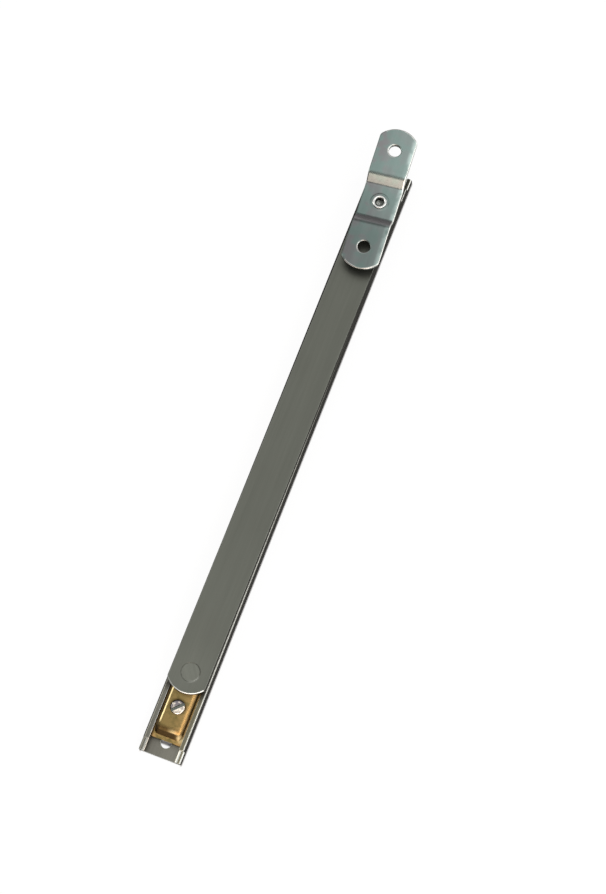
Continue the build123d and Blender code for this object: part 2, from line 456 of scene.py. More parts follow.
def spread(value, low, high, to_low=0.0, to_high=1.0):
    """Maps a value from one range to another, held at both ends."""
    made = node(value.id_data, "ShaderNodeMapRange", {"Value": value}, clamp=True)
    feed(made, {"From Min": low, "From Max": high, "To Min": to_low, "To Max": to_high})
    return made.outputs["Result"]


def varied(pattern, low=0.0, high=1.0):
    """A noise pattern, whose values lie round a half, spread from one level to another."""
    return spread(pattern, 0.3, 0.7, low, high)


def noise(place, scale, detail=2.0, roughness=0.5):
    """A noise pattern on some coordinates."""
    inputs = {"Vector": place, "Scale": scale, "Detail": detail, "Roughness": roughness}
    return node(place.id_data, "ShaderNodeTexNoise", inputs).outputs["Fac"]


def parts(place):
    """The X, Y and Z of a place or a direction."""
    return node(place.id_data, "ShaderNodeSeparateXYZ", {"Vector": place}).outputs


def facing(tree):
    """The X, Y and Z of the way in which the surface faces."""
    return parts(node(tree, "ShaderNodeTexCoord").outputs["Normal"])


def vectors(operation, place, inputs=None):
    """What a vector maths node puts out."""
    made = node(place.id_data, "ShaderNodeVectorMath", {0: place}, operation=operation)
    feed(made, inputs or {})
    return made.outputs


def stretched(place, factors):
    """Coordinates times a factor for each axis."""
    return vectors("MULTIPLY", place, {1: factors})["Vector"]


def turned(place, centre, angle):
    """Object coordinates turned with a piece, about its pivot."""
    inputs = {"Vector": place, "Location": (centre[0], centre[1], 0), "Rotation": (0, 0, angle)}
    return node(place.id_data, "ShaderNodeMapping", inputs, vector_type="TEXTURE").outputs["Vector"]


def from_spot(place, spot):
    """How far a place lies from a spot."""
    return vectors("DISTANCE", place, {1: spot})["Value"]


def bumped(height, strength, depth):
    """The surface's normal, bent by a height."""
    inputs = {"Strength": strength, "Distance": depth, "Height": height}
    return node(height.id_data, "ShaderNodeBump", inputs).outputs["Normal"]


def opaque(colour):
    """A colour with its alpha, or a socket as it is."""
    return colour if isinstance(colour, bpy.types.NodeSocket) else (*colour[:3], 1)


def coat(base, *layers, mode="MIX"):
    """Lays colours over a base, each by its own mask."""
    for mask, colour in layers:
        inputs = {0: mask, 6: opaque(base), 7: opaque(colour)}
        made = node(tree_of(mask, base, colour), "ShaderNodeMix", data_type="RGBA", blend_type=mode)
        feed(made, inputs)
        base = made.outputs[2]
    return base


def shaded(colour, level):
    """A colour times a level."""
    inputs = {"Red": level, "Green": level, "Blue": level}
    grey = node(level.id_data, "ShaderNodeCombineColor", inputs)
    return coat(colour, (1.0, grey.outputs["Color"]), mode="MULTIPLY")


def bare_tree(owner):
    """The emptied node tree of a material or of the world."""
    owner.use_nodes = True
    owner.node_tree.nodes.clear()
    return owner.node_tree


def metal(name, roughness, metallic=1.0):
    """A new material, with its shader and its Object coordinates."""
    material = bpy.data.materials.new(name)
    tree = bare_tree(material)
    shader = node(tree, "ShaderNodeBsdfPrincipled", {"Metallic": metallic, "Roughness": roughness})
    node(tree, "ShaderNodeOutputMaterial", {"Surface": shader.outputs["BSDF"]})
    return material, shader, node(tree, "ShaderNodeTexCoord").outputs["Object"]


# Effects that several finishes share, each a node group on coordinates

def new_effect(name, inputs, outputs):
    """A new shader node group: what it is given, and the node that puts out its masks."""
    group = bpy.data.node_groups.new(name, "ShaderNodeTree")
    add = group.interface.new_socket
    add(name="Vector", in_out="INPUT", socket_type="NodeSocketVector")
    for socket, default in inputs.items():
        add(name=socket, in_out="INPUT", socket_type="NodeSocketFloat").default_value = default
    for socket in outputs:
        add(name=socket, in_out="OUTPUT", socket_type="NodeSocketFloat")
    return group.nodes.new("NodeGroupInput").outputs, group.nodes.new("NodeGroupOutput")


def effect(build, place, inputs=None):
    """Lays an effect on some coordinates. Its group is built the first time."""
    name = build.__name__.replace("_", " ").title()
    if name not in bpy.data.node_groups:
        build(name)
    made = node(place.id_data, "ShaderNodeGroup", node_tree=bpy.data.node_groups[name])
    feed(made, {"Vector": place, **(inputs or {})})
    return made.outputs


def rolled_grain(name):
    """Fine streaks along the strip that rolling leaves, and slow bands across them."""
    given, out = new_effect(name, {}, ("Streaks", "Bands"))
    fine = stretched(given["Vector"], (2600, 45, 2600))
    slow = stretched(given["Vector"], (420, 9, 420))
    feed(out, {"Streaks": noise(fine, 1.0, 3.0), "Bands": noise(slow, 1.0)})


def plating_bloom(name):
    """Cloudy patches and specks of a plated surface."""
    given, out = new_effect(name, {"Size": 1.0}, ("Clouds", "Specks"))
    scaled = vectors("SCALE", given["Vector"], {"Scale": given["Size"]})["Vector"]
    feed(out, {"Clouds": noise(scaled, 70.0, 4.0, 0.6), "Specks": noise(scaled, 1500.0)})


def rim_wear_and_sheen(name):
    """The marked rims, broken up a little, as tumbling leaves them and as painted highlights."""
    given, out = new_effect(name, {}, ("Wear",))
    rim = node(out.id_data, "ShaderNodeAttribute", attribute_name="rim", attribute_type="GEOMETRY")
    broken = spread(noise(given["Vector"], 260.0, 3.0), 0.3, 0.55, 0.55, 1.0)
    feed(out, {"Wear": times(rim.outputs["Fac"], broken)})


def painted_side_shade(name):
    """The long upright sides of a flat piece, painted darker than its faces as shade."""
    inputs = {"Half Width": 0.008, "From Upright": 0.35, "To Upright": 0.15}
    given, out = new_effect(name, inputs, ("Side",))
    upright = unsigned(facing(out.id_data)["Z"])
    inset = maths("SUBTRACT", given["Half Width"], unsigned(parts(given["Vector"])["X"]))
    steep = spread(upright, given["From Upright"], given["To Upright"])
    feed(out, {"Side": times(steep, spread(inset, 0.0006, 0.0003))})


def seam_dirt_and_shade(name):
    """A ring round a piece's axis: dirt in a round seam, painted shade at its upper right, a
    painted highlight at its lower right.
    """
    inputs = {"Radius": 0.004, "Width": 0.0002, "Left Share": 1.0}
    given, out = new_effect(name, inputs, ("Grime", "Gleam"))
    flat = stretched(given["Vector"], (1, 1, 0))
    away = unsigned(maths("SUBTRACT", vectors("LENGTH", flat)["Value"], given["Radius"]))
    ring = outside_of(maths("DIVIDE", away, given["Width"], clamp=True))
    depth = spread(noise(given["Vector"], 140.0), 0.4, 0.62, 0.4, 0.95)
    # painted shade is stronger to the right and above, and the painted highlight lies at the lower
    # right
    x, y, _ = parts(vectors("NORMALIZE", flat)["Vector"])
    on_right = spread(x, -0.5, 0.6, given["Left Share"], 1.0)
    above = spread(y, -0.6, 0.1, 0.2, 1.0)
    lower_right = spread(maths("SUBTRACT", x, y), 0.9, 1.3)
    dirt = times(times(ring, depth), times(on_right, above))
    feed(out, {"Grime": dirt, "Gleam": times(ring, lower_right)})


def zinc(name, colour, centre, angle, roughness=0.4, streak=0.05, cloud=0.12, seam=None, left=1.0,
         half=None, tilt=(0.35, 0.15)):
    """Dull zinc plate with a lengthwise grain, faint clouds, worn rims painted bright, and a round
    seam with dirt and painted shade.

    A piece of a given half width gets painted shade on its long sides, from one tilt of the face to
    another.
    """
    _, c = stay(bpy.context)
    material, shader, place = metal(name, roughness)
    feed(shader, {"Specular Tint": (0.2, 0.2, 0.2, 1), "Specular IOR Level": 0.0})
    along = turned(place, centre, angle)
    grain = effect(rolled_grain, along)
    bloom = effect(plating_bloom, along)
    light = [min(1.0, v * (1 + streak)) for v in colour]
    dark = [v * (1 - streak) for v in colour]
    base = coat(dark, (varied(grain["Streaks"]), light))
    levels = (1 - cloud / 2, 1 + cloud / 2)
    base = shaded(base, times(varied(grain["Bands"], *levels), varied(bloom["Clouds"], *levels)))
    # the round seam carries dirt, with painted shade at its upper right and a painted highlight at
    # its lower right
    if seam:
        inputs = {"Radius": seam, "Width": 0.0005, "Left Share": left}
        ring = effect(seam_dirt_and_shade, turned(place, centre, 0), inputs)
        base = coat(base, (ring["Grime"], c.grime), (times(ring["Gleam"], 0.22), c.burnished))
    # the rims are worn, and painted bright as a highlight
    wear_and_sheen = effect(rim_wear_and_sheen, along)["Wear"]
    base = coat(base, (wear_and_sheen, c.burnished))
    # painted shade on the long sides
    if half:
        inputs = {"Half Width": half, "From Upright": tilt[0], "To Upright": tilt[1]}
        side = effect(painted_side_shade, along, inputs)["Side"]
        base = coat(base, (side, c.track_wall))
        feed(shader, {"Metallic": outside_of(side)})
    dull = varied(bloom["Clouds"], roughness - 0.05, roughness + 0.07)
    feed(shader, {
        "Base Color": base,
        "Roughness": maths("SUBTRACT", dull, times(wear_and_sheen, 0.12)),
        "Normal": bumped(grain["Streaks"], 0.06, 0.00003),
    })
    return material, shader, place, base


class STAY_OT_track(bpy.types.Operator):
    """Folds the track channel from strip and bends its stops down"""

    bl_idname = "stay.track"
    bl_label = "Track Channel"

    def execute(self, context):
        s, c = stay(context)
        half = s.track_length / 2
        inner = half - s.stop_length
        side = (s.track_width - s.track_wall) / 2
        low = s.track_wall / 2
        high = s.track_height - s.track_wall / 2
        lip = side - (s.track_width / 2 - s.lip_width)
        fold = math.pi / 2 + s.stop_angle
        tangent = s.track_bend * math.tan(fold / 2)
        parting = high - tangent
        piece = start_point("track_strip", (0, -half, low))
        for step in (s.stop_length, 2 * inner, s.stop_length):
            draw(0, step, 0)
        pick_all()
        flat = side - s.track_bend
        draw(flat, 0, 0)
        swing((flat, 0, low + s.track_bend), (0, -1, 0), math.pi / 2, 6)
        draw(0, 0, parting - low - s.track_bend)
        pick(piece, lambda v: abs(v.co.z - parting) < NEAR and abs(v.co.y) < inner + NEAR)
        draw(0, 0, tangent - s.track_bend)
        swing((flat, 0, high - s.track_bend), (0, -1, 0), math.pi / 2, 6)
        draw(s.track_bend - lip, 0, 0)
        for end in (1, -1):
            pick(piece, lambda v: abs(v.co.z - parting) < NEAR and end * v.co.y > inner - NEAR)
            swing((flat, 0, parting), (0, -1, 0), fold, 8)
            left = lip - tangent
            draw(-left * math.cos(s.stop_angle), 0, -left * math.sin(s.stop_angle))
        pick_all()
        bpy.ops.mesh.normals_make_consistent(inside=False)
        bpy.ops.object.mode_set(mode="OBJECT")
        modify(piece, "MIRROR", use_axis=(True, False, False), merge_threshold=MERGE)
        modify(
            piece, "SOLIDIFY", thickness=s.track_wall, offset=0, use_even_offset=True,
            use_quality_normals=True,
        )
        for end in (1, -1):
            place = (0, end * (half - s.web_hole_inset), s.track_wall + PROUD)
            drill(piece, place, s.web_hole / 2, s.track_wall + 2 * PROUD)
        round_rims(piece, s.track_edge, 2)
        finish_piece(piece, "track", "track_channel", self.finish(s, c))
        return {"FINISHED"}

    def finish(self, s, c):
        """Satin zinc, with painted shade on the outer walls, and bright where it was sheared."""
        material, shader, place, base = zinc("Track Zinc", c.track, (0, 0), 0)
        x, y, z = parts(place)
        face_x, face_y, face_z = facing(place.id_data)
        out, far = unsigned(x), unsigned(y)
        sideways, upright = unsigned(face_x), unsigned(face_z)
        wall = s.track_width / 2
        lip_edge = wall - s.lip_width
        stop = s.track_length / 2 - s.stop_length
        raised = maths("GREATER_THAN", z, 0.002)
        on_stop = times(maths("GREATER_THAN", far, stop), raised)
        # the lips' cut edges, the stops' and the strip's ends
        cut_face = maths("LESS_THAN", upright, 0.85)
        inside = maths("LESS_THAN", out, lip_edge + 0.0004)
        sheared = times(inside, raised, cut_face, spread(far, stop - 0.014, stop - 0.008, 0.3, 1.0))
        endwise = maths("GREATER_THAN", unsigned(face_y), 0.6)
        at_stop = maths("LESS_THAN", far, stop + 0.001)
        step = times(endwise, at_stop, raised, maths("LESS_THAN", out, wall - 0.0012))
        sheared = either(sheared, step)
        # painted shade: the right lip is painted a little darker and warmer
        lip = times(spread(x, 0.0066, 0.007), raised)
        base = coat(base, (lip, (0.78, 0.75, 0.62)), mode="MULTIPLY")
        # painted shadow: the lips are darkened where the arm covers them
        arm_shadow = times(spread(y, -0.114, -0.11), raised, spread(out, 0.0091, 0.0086, 0.0, 0.85))
        # both stops are rubbed, and painted bright as a highlight, where they are bent down, the
        # right one more
        inner = spread(y, 0.0, 0.01, lip_edge, 0.0076)
        bent = times(spread(out, 0.0081, 0.0078), on_stop, spread(out, inner, 0.0074))
        bent = times(bent, spread(x, -0.001, 0.001, 0.3, 0.85))
        # painted highlight: the folded corner is painted bright towards the open end
        corner = spread(out, wall - 0.0012, wall - 0.0008)
        lean = maths("SUBTRACT", sideways, times(on_stop, 0.3))
        tilted = times(spread(lean, 0.2, 0.4), spread(upright, 0.3, 0.6))
        handled = either(spread(y, -0.12, 0.06, 0.58, 0.1), spread(y, 0.108, 0.121), on_stop)
        handled = times(handled, spread(x, -0.001, 0.001, 0.15, 1.0))
        rubbed = times(corner, tilted, handled)
        # painted shade: the outer walls are painted near black and not metallic, up to where they
        # turn in
        outside = spread(out, wall - 0.0012, wall - 0.0009)
        reach = spread(y, -0.1, 0.1, 0.0, 0.12)
        walls = times(outside, spread(maths("ADD", lean, reach), 0.55, 0.7))
        base = coat(
            base, (arm_shadow, c.grime), (sheared, c.sheared), (bent, c.burnished),
            (rubbed, c.burnished), (walls, c.track_wall),
        )
        # painted shade: the track is a little darker towards its left
        feed(shader, {
            "Base Color": shaded(base, spread(x, -0.008, 0.008, 0.82, 1.0)),
            "Metallic": outside_of(either(walls, times(sheared, 0.6))),
        })
        return material


class STAY_OT_shoe(bpy.types.Operator):
    """Casts the brass shoe and bores it for the screw and the rivet"""

    bl_idname = "stay.shoe"
    bl_label = "Slider Shoe"

    def execute(self, context):
        s, c = stay(context)
        middle = s.shoe_front + s.shoe_length / 2
        top = s.flange_top
        thick = top - s.shoe_foot
        size = (s.flange_width, s.shoe_length, thick)
        piece = start_block("brass_shoe", (0, middle, s.shoe_foot + thick / 2), size)
        bpy.ops.object.mode_set(mode="EDIT")
        pick(piece, lambda e: abs(e.verts[0].co.z - e.verts[1].co.z) > thick / 2, "EDGE")
        bpy.ops.mesh.bevel(offset=s.shoe_corner, segments=5, affect="EDGES")
        pick(piece, lambda f: f.normal.z > 0.9, "FACE")
        bpy.ops.mesh.delete(type="ONLY_FACE")
        bpy.ops.object.mode_set(mode="OBJECT")
        back = self.raise_back(s, middle)
        choose(piece)
        back.select_set(True)
        bpy.ops.object.join()
        bpy.ops.object.mode_set(mode="EDIT")

        def at_seam(edge):
            """The flange and the back meet in a gap, which is filled."""
            return edge.is_boundary and all(abs(v.co.z - top) < NEAR for v in edge.verts)

        pick(piece, at_seam, "EDGE")
        bpy.ops.mesh.fill()
        close_up()
        high = s.shoe_top + PROUD
        drill(piece, (0, s.screw_y, high), s.screw_diameter / 2 + PLAY, high + PROUD)
        drill(piece, (0, s.pivot_y, high), s.rivet_shank / 2, high + PROUD)
        room = 0.0004  # round the rivet's tail, in its recess
        drill(piece, (0, s.pivot_y, s.tail_top), s.rivet_tail / 2 + room, s.tail_top)
        finish_piece(piece, "shoe", "slider_shoe", self.finish(s, c))
        return {"FINISHED"}

    def raise_back(self, s, middle):
        """The raised back: a block with sloping sides, rounded shoulders and no underside."""
        foot_x = s.back_width / 2 + s.back_draft
        foot_y = s.shoe_length / 2 - s.foot_ledge
        rise = s.shoe_top - s.flange_top
        size = (2 * foot_x, 2 * foot_y, rise)
        back = start_block("raised_back", (0, middle, s.flange_top + rise / 2), size)
        bpy.ops.object.mode_set(mode="EDIT")
        pick(back, lambda f: f.normal.z > 0.9, "FACE")
        shrink = (s.back_width / 2 / foot_x, (foot_y - s.back_slope) / foot_y, 1)
        bpy.ops.transform.resize(value=shrink, center_override=(0, middle, s.shoe_top))
        pick(back, lambda f: f.normal.z < -0.9, "FACE")
        bpy.ops.mesh.delete(type="ONLY_FACE")
        pick(back, lambda e: max(v.co.z for v in e.verts) > s.shoe_top - NEAR, "EDGE")
        bpy.ops.mesh.bevel(offset=s.shoulder, segments=7, affect="EDGES", clamp_overlap=False)
        bpy.ops.object.mode_set(mode="OBJECT")
        return back

    def finish(self, s, c):
        """Worn brass: olive gold on the back, brown at the feet, painted shade on the steep places
        and painted highlights on the edges.
        """
        material, shader, place = metal("Shoe Brass", 0.36)
        bloom = effect(plating_bloom, place, {"Size": 2.2})
        x, y, z = parts(place)
        upright = facing(place.id_data)["Z"]
        half = s.back_width / 2
        right = spread(x, 0.001, 0.0048)
        right_shoulder = (0.0022, 0.0042)
        patch = spread(bloom["Clouds"], 0.52, 0.68, 0, 0.5)
        # painted warm light: the back turns orange towards its right, and also in random patches
        warm = maths("ADD", times(right, 0.6), times(patch, 0.6), clamp=True)
        mottle = noise(place, 480.0, 4.0)
        base = coat(c.brass, (warm, c.orange_brass), (spread(mottle, 0.48, 0.66, 0.0, 0.6), c.stain))
        # painted light: the back is lighter towards its right shoulder
        base = shaded(base, spread(x, *right_shoulder, 1.0, 1.12))
        blotch = spread(mottle, 0.42, 0.6, 0.0, 0.8)
        spot = spread(mottle, 0.46, 0.34, 0.0, 0.7)
        foot = coat(c.foot_brass, (blotch, c.orange_brass), (spot, c.stain))
        low = spread(z, s.flange_top + 0.0004, s.flange_top)
        # the rounded edges are rubbed and painted bright as a highlight, paler on the left, and
        # painted shade keeps the steep places dark
        rounded = times(spread(upright, 0.975, 0.9), spread(upright, 0.6, 0.75))
        paler = coat(c.rubbed_and_highlit_brass, (right, c.orange_brass))
        # painted shade: the front fillet is kept dull and dark on its left
        front = spread(y, s.shoe_front + 0.0075, s.shoe_front + 0.006)
        dull_front = times(front, spread(x, 0.003, -0.001))
        rubbed = times(rounded, 0.66, outside_of(dull_front))
        # painted highlight: the right shoulder is painted bright orange gold, more towards the
        # front
        shoulder = times(
            spread(upright, 0.995, 0.95), spread(upright, 0.72, 0.86), spread(x, *right_shoulder),
            spread(y, -0.113, -0.128, 0.28, 0.95),
        )
        # painted shade: the steep places are darkened, less on the right
        steep = times(spread(upright, 0.82, 0.68, 0, 0.95), spread(x, 0.003, 0.005, 1.0, 0.4))
        fillet = times(dull_front, spread(upright, 0.99, 0.9, 0, 0.8))
        # painted shadow: the flange beside the back is darkened where the lips overhang it
        lip_shadow = times(spread(x, -half - 0.0002, -half - 0.0009, 0, 0.9), low)
        # dirt sits round the screw, with painted shade stronger above it
        inputs = {"Radius": s.screw_diameter / 2 + 0.0002, "Width": 0.0008}
        ring = effect(seam_dirt_and_shade, turned(place, (0, s.screw_y), 0), inputs)["Grime"]
        shade_and_dirt = either(steep, fillet, lip_shadow, ring)
        # painted highlight: a bright flare on the right front corner
        dent = (half + 0.0004, s.shoe_front + 0.0025, s.shoe_top - 0.002)
        painted_flare = spread(from_spot(place, dent), 0.0024, 0.0006, 0.0, 0.75)
        base = coat(
            base, (low, foot), (rubbed, paler), (shoulder, c.gilt), (shade_and_dirt, c.tarnish),
            (painted_flare, c.rubbed_and_highlit_brass),
        )
        feed(shader, {
            "Base Color": base,
            "Metallic": spread(painted_flare, 0.0, 1.0, 1.0, 0.4),
            "Roughness": varied(bloom["Clouds"], 0.36, 0.5),
            "Normal": bumped(bloom["Specks"], 0.25, 0.0001),
        })
        return material


class STAY_OT_screw(bpy.types.Operator):
    """Turns the slotted adjusting screw"""

    bl_idname = "stay.screw"
    bl_label = "Adjusting Screw"

    def execute(self, context):
        s, c = stay(context)
        radius = s.screw_diameter / 2
        top, base = s.screw_top, s.screw_base
        edge = 0.0005
        profile = [
            (0, top), (radius * 0.45, top - 0.00004), (radius * 0.75, top - 0.00014),
            (radius - 0.00035, top - 0.0003), (radius, top - 0.0007),
            (radius, base + edge), (radius - edge, base), (0, base),
        ]
        piece = lathe("slotted_screw", profile, (0, s.screw_y))
        size = (4 * radius, s.slot_width, 2 * s.slot_depth)
        cut(piece, start_block("slot_cutter", (0, s.screw_y, s.screw_top), size, s.slot_turn))
        modify(piece, "BEVEL", width=0.00012, segments=2, limit_method="ANGLE", angle_limit=SHARP)
        finish_piece(piece, "screw", "adjusting_screw", self.finish(s, c))
        return {"FINISHED"}

    def finish(self, s, c):
        """Bright plated steel, scuffed in patches, with one half of the head painted as shade and
        the slot painted dark.
        """
        material, shader, place = metal("Screw Steel", 0.3)
        bloom = effect(plating_bloom, place, {"Size": 11.0})
        _, y, z = parts(turned(place, (0, s.screw_y), s.slot_turn))
        # painted light and shade: one half of the head beside the slot is dark and the other bright
        # cream, broken up by scuffed patches
        half = spread(y, -0.0004, 0.0004)
        patch = spread(bloom["Clouds"], 0.38, 0.62, -0.7, 0.7)
        worn = maths("ADD", half, patch, clamp=True)
        # painted shade: the slot is painted dark grey-green below the head's face
        recess_shade = spread(z, s.screw_top - 0.0004, s.screw_top - 0.0009)
        feed(shader, {
            "Base Color": coat(c.screw, (worn, c.scuffed), (recess_shade, c.slot)),
            "Metallic": spread(recess_shade, 0.0, 1.0, 1.0, 0.4),
            "Roughness": varied(bloom["Clouds"], 0.22, 0.4),
            "Normal": bumped(bloom["Clouds"], 0.6, 0.00015),
        })
        return material


class STAY_OT_arm(bpy.types.Operator):
    """Blanks the arm from bar, with bowed ends and pressed rims"""

    bl_idname = "stay.arm"
    bl_label = "Arm"

    def execute(self, context):
        s, c = stay(context)
        half = s.pivot_spacing / 2 + s.arm_end
        bow = s.pivot_spacing / 2
        top = s.arm_base + s.arm_thickness
        piece = bowed_face("arm_bar", half, s.arm_width / 2, s.end_radius, s.end_corner, s.arm_base)
        draw(0, 0, s.arm_thickness)
        pick_all()
        bpy.ops.transform.translate(value=(0, bow, 0))
        close_up()

        def share(middle):
            """The bowed ends are rubbed and painted bright as a highlight, less on the left, and
            the long sides hardly.
            """
            if abs(middle.y - bow) < half - 1.6 * s.end_corner:
                return 0.1
            return 1 if middle.x > -0.004 else 0.4

        round_rims(piece, s.arm_edge, 4, share)
        for y, shank in ((0, s.rivet_shank), (s.pivot_spacing, s.roll_shank)):
            drill(piece, (0, y, top + PROUD), shank / 2 + PLAY, s.arm_thickness + 2 * PROUD)
        # the countersink, a little wider than the flush head
        clear_selection()
        margin = 0.0001
        depth = (s.rivet_head - s.rivet_shank) / 2 + margin
        wide = s.rivet_head / 2 + margin
        bpy.ops.mesh.primitive_cone_add(
            vertices=HOLE_SIDES, radius1=wide - depth, radius2=wide + margin, depth=depth + margin,
            location=(0, 0, top - depth / 2 + margin / 2),
        )
        apply_place()
        cut(piece, context.object)
        seat_piece(piece, (0, s.pivot_y, 0), s.arm_turn)
        finish_piece(piece, "arm", "arm", self.finish(s, c))
        return {"FINISHED"}

    def finish(self, s, c):
        """Dull olive grey zinc with a lengthwise grain."""
        material, shader, place, base = zinc(
            "Arm Zinc", c.arm, (0, s.pivot_y), s.arm_turn, 0.42, 0.03, 0.07, seam=s.rivet_head / 2,
            left=0.15, half=s.arm_width / 2, tilt=(0.97, 0.8),
        )
        # painted light: a little lighter round the near pivot and a little darker towards the far
        # end
        pivot = (0, s.pivot_y, s.arm_base + s.arm_thickness)
        near = spread(from_spot(place, pivot), 0.004, 0.014, 1.08, 1.0)
        level = times(near, spread(parts(place)["Y"], -0.09, -0.03, 1.0, 0.92))
        feed(shader, {"Base Color": shaded(base, level)})
        return material


class STAY_OT_slider_rivet(bpy.types.Operator):
    """Turns the flush rivet that holds the arm to the shoe"""

    bl_idname = "stay.slider_rivet"
    bl_label = "Slider Rivet"

    def execute(self, context):
        s, c = stay(context)
        top = s.arm_base + s.arm_thickness
        head = s.rivet_head / 2
        shank = s.rivet_shank / 2
        tail = s.rivet_tail / 2
        edge = 0.0003
        profile = [
            (0, top), (head - edge, top), (head, top - 0.4 * edge), (shank, top - (head - shank)),
            (shank, s.tail_top), (tail, s.tail_top), (tail, s.tail_base + edge),
            (tail - edge, s.tail_base), (0, s.tail_base),
        ]
        piece = lathe("flush_rivet", profile, (0, s.pivot_y))
        brighter = [v * 1.22 for v in c.arm]
        centre = (0, s.pivot_y)
        material, *_ = zinc("Flush Rivet Zinc", brighter, centre, 0.6, 0.42, seam=head, left=0.15)
        finish_piece(piece, "shoe", "slider_rivet", material)
        return {"FINISHED"}


class STAY_OT_bracket(bpy.types.Operator):
    """Steps the sash bracket up at both ends, trims its outline and drills it"""

    bl_idname = "stay.bracket"
    bl_label = "Sash Bracket"

    def execute(self, context):
        s, c = stay(context)
        half = s.tab_spacing / 2 + s.tab_end
        low = s.bracket_base + s.bracket_thickness / 2
        high = low + s.tab_rise
        slope = math.atan2(s.tab_rise, s.step_run)
        tangent = s.step_bend * math.tan(slope / 2)
        run = math.hypot(s.tab_rise, s.step_run) - 2 * tangent
        top_end = s.step_middle + s.step_run / 2 + tangent
        low_end = s.step_middle - s.step_run / 2 - tangent
        wide = s.bracket_width / 2 + SPARE
        hole_x = s.tab_spacing / 2 * math.sin(s.step_skew)
        hole_y = s.tab_spacing / 2 * math.cos(s.step_skew)
        piece = start_point("stepped_strip", (-wide, -half - SPARE, high))
        draw(0, half + SPARE - hole_y, 0)
        draw(0, hole_y - top_end, 0)
        swing((0, -top_end, high - s.step_bend), (-1, 0, 0), slope, 8)
        draw(0, run * math.cos(slope), -run * math.sin(slope))
        swing((0, -low_end, low + s.step_bend), (1, 0, 0), slope, 8)
        draw(0, 2 * low_end, 0)
        swing((0, low_end, low + s.step_bend), (1, 0, 0), slope, 8)
        draw(0, run * math.cos(slope), run * math.sin(slope))
        swing((0, top_end, high - s.step_bend), (-1, 0, 0), slope, 8)
        draw(0, hole_y - top_end, 0)
        draw(0, half + SPARE - hole_y, 0)
        pick_all()
        draw(2 * wide, 0, 0)
        close_up()
        modify(piece, "SOLIDIFY", thickness=s.bracket_thickness, offset=0, use_even_offset=True)
        for end in (1, -1):
            drill(piece, (end * hole_x, end * hole_y, high + SPARE), s.tab_hole / 2, 2 * SPARE)
        seat_piece(piece, (0, 0, 0), s.step_skew)
        half_width = s.bracket_width / 2
        outline = bowed_face("bracket_outline", half, half_width, s.end_radius, s.end_corner, 0)
        draw(0, 0, 0.03)
        close_up()
        cut(piece, outline, "INTERSECT")

        def share(middle):
            """The right rims and the bowed ends are rubbed and painted brightest, a hole's rim at
            its lower left, as wear and a painted highlight.
            """
            y = abs(middle.y) - s.tab_spacing / 2
            off = math.hypot(middle.x, y)
            if off < s.tab_hole * 0.75:
                y = middle.y - math.copysign(s.tab_spacing / 2, middle.y)
                return max(0, 0.42 - 0.41 * (middle.x + y) / off)
            if abs(middle.y) > half - s.end_corner:
                return 1
            return 0.55 + 0.45 * max(-1, min(1, middle.x / 0.005))

        round_rims(piece, s.bracket_edge, 4, share)
        drill(piece, (0, 0, low + SPARE), s.roll_shank / 2, 2 * SPARE)
        top = s.bracket_base + s.bracket_thickness
        drill(piece, (0, 0, top + PROUD), s.seat_diameter / 2, s.seat_depth + PROUD)
        seat_piece(piece, far_pivot(s), s.bracket_turn)
        finish_piece(piece, "bracket", "sash_bracket", self.finish(s, c))
        return {"FINISHED"}

    def finish(self, s, c):
        """Bluish zinc, brighter than the arm."""
        centre = far_pivot(s)
        half = s.bracket_width / 2
        material, shader, place, base = zinc(
            "Bracket Zinc", c.bracket, centre, s.bracket_turn, 0.34, 0.025, 0.16,
            seam=s.seat_diameter / 2, half=half, tilt=(0.7, 0.5),
        )
        x, y, _ = parts(turned(place, centre, s.bracket_turn))
        face_x, face_y, face_z = facing(place.id_data)
        # plating clouds: pinkish towards the left, and a painted highlight, greenish, along the
        # right rim
        tarnish = noise(place, 190.0, 3.0)
        teal = spread(tarnish, 0.55, 0.4, 0.0, 0.6)
        flat = spread(face_z, 0.85, 0.9)
        blush = times(spread(x, 0.002, -0.007, 0.0, 0.75), spread(tarnish, 0.45, 0.6), flat)
        right_rim = spread(x, half - 0.0024, half - 0.0006, 0.0, 0.9)
        rubbed = times(right_rim, spread(tarnish, 0.38, 0.58, 0.15, 1.0), flat)
        base = coat(base, (teal, c.teal), (blush, c.blush), (rubbed, c.right_rim_highlight))
        # painted light: lighter towards the far tab and towards the right
        along = spread(y, -0.018, 0.016, 0.62, 1.0)
        base = shaded(base, times(along, spread(x, -0.007, 0.007, 0.92, 1.1)))
        # painted light and shade: the step that faces away is painted dull, pinkish and less
        # metallic, lighter towards the near tab, and the one that faces the open end is tinted warm
        # like the light on it
        away = spread(face_y, 0.3, 0.6)
        step_half = s.step_run / 2
        step_shading = spread(y, -s.step_middle - step_half, -s.step_middle + step_half, 1.5, 0.85)
        base = coat(base, (times(away, 0.8), shaded(c.painted_step_shading, step_shading)))
        warm_light_tint = spread(face_y, -0.3, -0.6)
        base = coat(base, (warm_light_tint, (0.99, 0.89, 0.87)), mode="MULTIPLY")
        # painted highlight: rims that face right are painted bright
        sloping = times(spread(face_x, 0.2, 0.5), spread(face_z, 0.9, 0.75))
        rim = times(sloping, spread(face_z, 0.1, 0.35), 0.8)
        plated = shader.inputs["Metallic"].links[0].from_socket
        feed(shader, {
            "Base Color": coat(base, (rim, c.burnished)),
            "Metallic": times(plated, spread(away, 0.0, 1.0, 1.0, 0.45)),
        })
        return material


